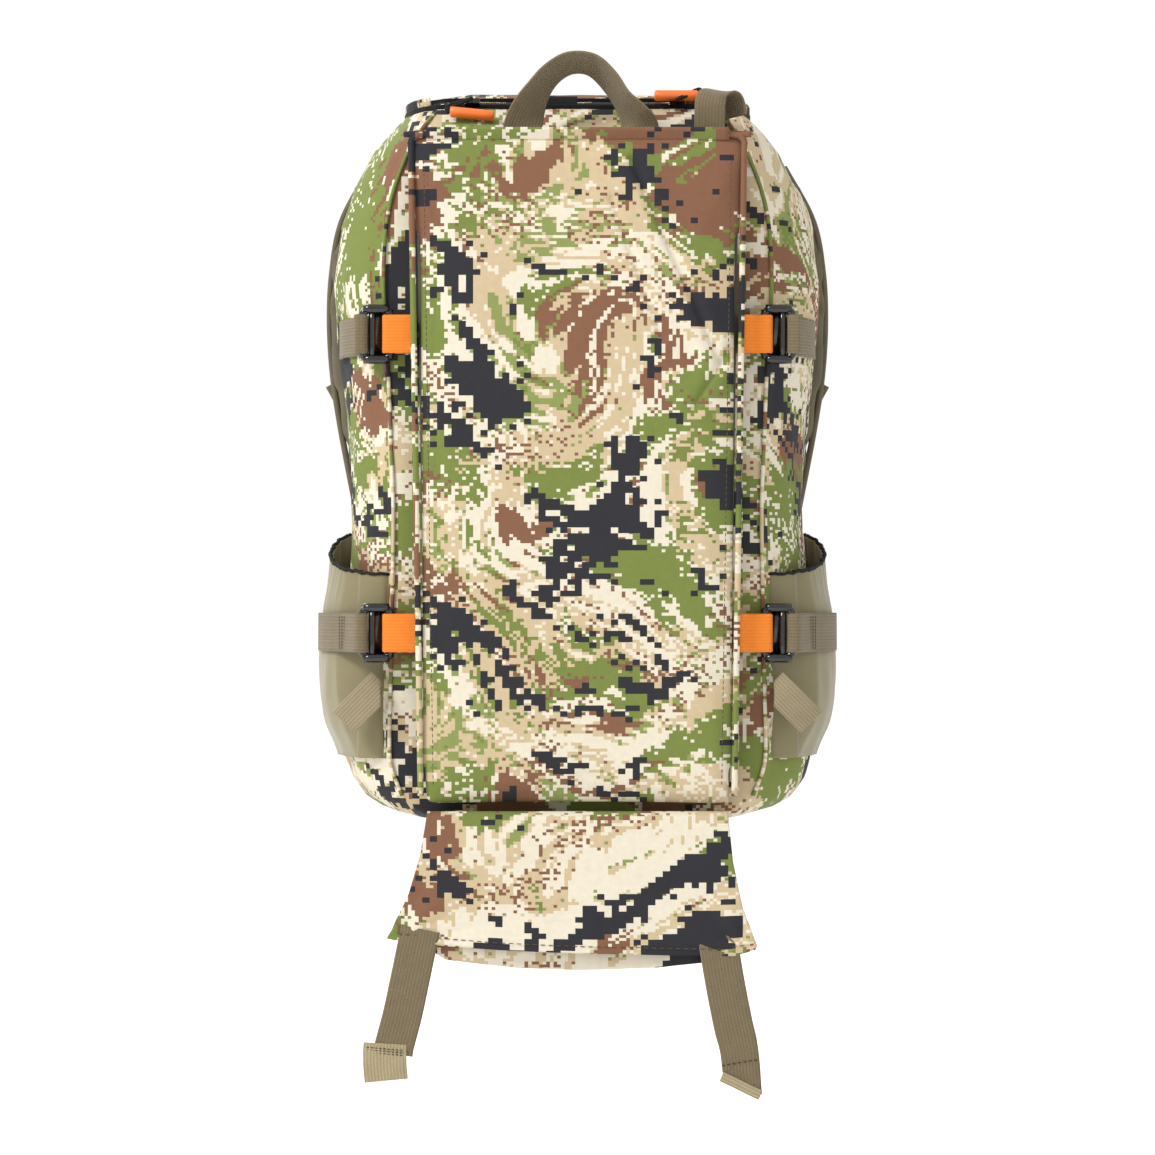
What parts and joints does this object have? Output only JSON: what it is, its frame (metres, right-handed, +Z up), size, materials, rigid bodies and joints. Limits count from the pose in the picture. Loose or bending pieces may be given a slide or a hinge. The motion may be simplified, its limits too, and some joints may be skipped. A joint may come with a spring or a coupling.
{
  "type": "hunting backpack",
  "caption": "Camouflage hunting daypack hung by its haul loop, with a padded front load panel, side pockets and a drop-down load flap.",
  "frame": {"origin": "top of the haul handle's arch, at the middle of the pack", "axes": "+Z up along the pack's height, -Y towards the front panel, +Y towards the wearer's back, +X across the pack"},
  "size_m": [0.3586, 0.2938, 0.6823],
  "materials": {
    "camo_fabric": "matte",
    "camo_lining": "matte",
    "olive_stretch": "matte",
    "taupe_webbing": "matte",
    "orange_webbing": "matte",
    "orange_tube": "matte",
    "black_plastic": "gloss",
    "black_metal": "matte",
    "zip_tape": "matte",
    "stiff_sheet": "matte",
    "stay_metal": "matte",
    "lining": "matte",
    "harness_fabric": "matte"
  },
  "bodies": {
    "bag": {"back_pad_left": "harness_fabric", "back_pad_right": "harness_fabric", "bag_back": "camo_fabric", "bag_bottom": "camo_fabric", "bag_front": "camo_fabric", "bag_side_left": "camo_fabric", "bag_side_right": "camo_fabric", "bag_top_front": "camo_fabric", "buckle_lower_left": "black_plastic", "buckle_lower_right": "black_plastic", "buckle_upper_left": "black_plastic", "buckle_upper_right": "black_plastic", "compression_strap_lower_left": "taupe_webbing", "compression_strap_lower_right": "taupe_webbing", "compression_strap_upper_left": "taupe_webbing", "compression_strap_upper_right": "taupe_webbing", "flap_seam": "camo_fabric", "frame_sheet": "stiff_sheet", "frame_stay_left": "stay_metal", "frame_stay_right": "stay_metal", "haul_handle_root_left": "taupe_webbing", "haul_handle_root_right": "taupe_webbing", "hydration_sleeve": "lining", "lumbar_pad": "harness_fabric", "shoulder_yoke": "harness_fabric", "side_pocket_left": "olive_stretch", "side_pocket_right": "olive_stretch", "tool_loop_left": "taupe_webbing", "tool_loop_right": "taupe_webbing", "top_loop": "taupe_webbing", "zip_tape_bag": "zip_tape"},
    "lid": {"bag_lid": "camo_fabric", "zip_tape_lid": "zip_tape"},
    "zip_slider_left": {"zip_slider_left": "black_metal"},
    "zip_slider_right": {"zip_slider_right": "black_metal"},
    "zip_pull_left": {"zip_pull_left": "orange_tube"},
    "zip_pull_right": {"zip_pull_right": "orange_tube"},
    "front_panel": {"front_panel": "camo_fabric", "panel_loop_lower_left": "orange_webbing", "panel_loop_lower_right": "orange_webbing", "panel_loop_upper_left": "orange_webbing", "panel_loop_upper_right": "orange_webbing", "panel_stiffener": "stiff_sheet"},
    "flap": {"flap_front": "camo_fabric", "flap_lining": "camo_lining"},
    "flap_strap_left": {"flap_strap_left": "taupe_webbing"},
    "flap_strap_right": {"flap_strap_right": "taupe_webbing"},
    "haul_handle": {"haul_handle": "taupe_webbing"},
    "shoulder_strap_left": {"shoulder_strap_left": "harness_fabric", "ladder_lock_left": "black_plastic", "lower_webbing_left": "taupe_webbing", "strap_tail_left": "taupe_webbing"},
    "sternum_strap_left": {"sternum_webbing_left": "taupe_webbing", "sternum_buckle_left": "black_plastic"},
    "shoulder_strap_right": {"shoulder_strap_right": "harness_fabric", "ladder_lock_right": "black_plastic", "lower_webbing_right": "taupe_webbing", "strap_tail_right": "taupe_webbing"},
    "sternum_strap_right": {"sternum_webbing_right": "taupe_webbing", "sternum_buckle_right": "black_plastic"}
  },
  "joints": [
    {"name": "lid_open", "type": "hinge", "parent": "bag", "child": "lid", "pos_m": [0, 0.184, -0.0325], "axis": [-1, 0, 0], "range_deg": [0, 105]},
    {"name": "zip_left_slide", "type": "slide", "parent": "bag", "child": "zip_slider_left", "axis": [1, 0, 0], "range_m": [-0.022, 0.048]},
    {"name": "zip_right_slide", "type": "slide", "parent": "bag", "child": "zip_slider_right", "axis": [1, 0, 0], "range_m": [-0.044, 0.006]},
    {"name": "zip_pull_left_swing", "type": "hinge", "parent": "zip_slider_left", "child": "zip_pull_left", "pos_m": [-0.069, 0.0265, -0.0325], "axis": [1, 0, 0], "range_deg": [-110, 3]},
    {"name": "zip_pull_right_swing", "type": "hinge", "parent": "zip_slider_right", "child": "zip_pull_right", "pos_m": [0.065, 0.0285, -0.0335], "axis": [1, 0, 0], "range_deg": [-8, 35]},
    {"name": "front_panel_fold", "type": "hinge", "parent": "bag", "child": "front_panel", "pos_m": [0, -0.0226, -0.4935], "axis": [1, 0, 0], "range_deg": [0, 95], "deforming": ["panel_loop_upper_left", "panel_loop_upper_right", "panel_loop_lower_left", "panel_loop_lower_right"]},
    {"name": "flap_fold", "type": "hinge", "parent": "bag", "child": "flap", "pos_m": [0, -0.0295, -0.4975], "axis": [1, 0, 0], "range_deg": [-160, 30]},
    {"name": "flap_strap_left_swing", "type": "hinge", "parent": "flap", "child": "flap_strap_left", "pos_m": [-0.104, -0.0322, -0.5755], "axis": [-1, 0, 0], "range_deg": [0, 150]},
    {"name": "flap_strap_right_swing", "type": "hinge", "parent": "flap", "child": "flap_strap_right", "pos_m": [0.091, -0.0322, -0.5815], "axis": [-1, 0, 0], "range_deg": [0, 150]},
    {"name": "haul_handle_fold", "type": "hinge", "parent": "bag", "child": "haul_handle", "pos_m": [0, -0.0015, -0.0552], "axis": [1, 0, 0], "range_deg": [-12, 55]},
    {"name": "shoulder_strap_left_swing", "type": "hinge", "parent": "bag", "child": "shoulder_strap_left", "pos_m": [-0.115, 0.19, -0.042], "axis": [1, 0, 0], "range_deg": [0, 70], "deforming": ["lower_webbing_left"]},
    {"name": "sternum_left_swing", "type": "hinge", "parent": "shoulder_strap_left", "child": "sternum_strap_left", "pos_m": [-0.118, 0.2548, -0.176], "axis": [1, 0, 0], "range_deg": [0, 90]},
    {"name": "shoulder_strap_right_swing", "type": "hinge", "parent": "bag", "child": "shoulder_strap_right", "pos_m": [0.115, 0.19, -0.042], "axis": [1, 0, 0], "range_deg": [0, 70], "deforming": ["lower_webbing_right"]},
    {"name": "sternum_right_swing", "type": "hinge", "parent": "shoulder_strap_right", "child": "sternum_strap_right", "pos_m": [0.118, 0.2548, -0.176], "axis": [1, 0, 0], "range_deg": [0, 90]}
  ]
}
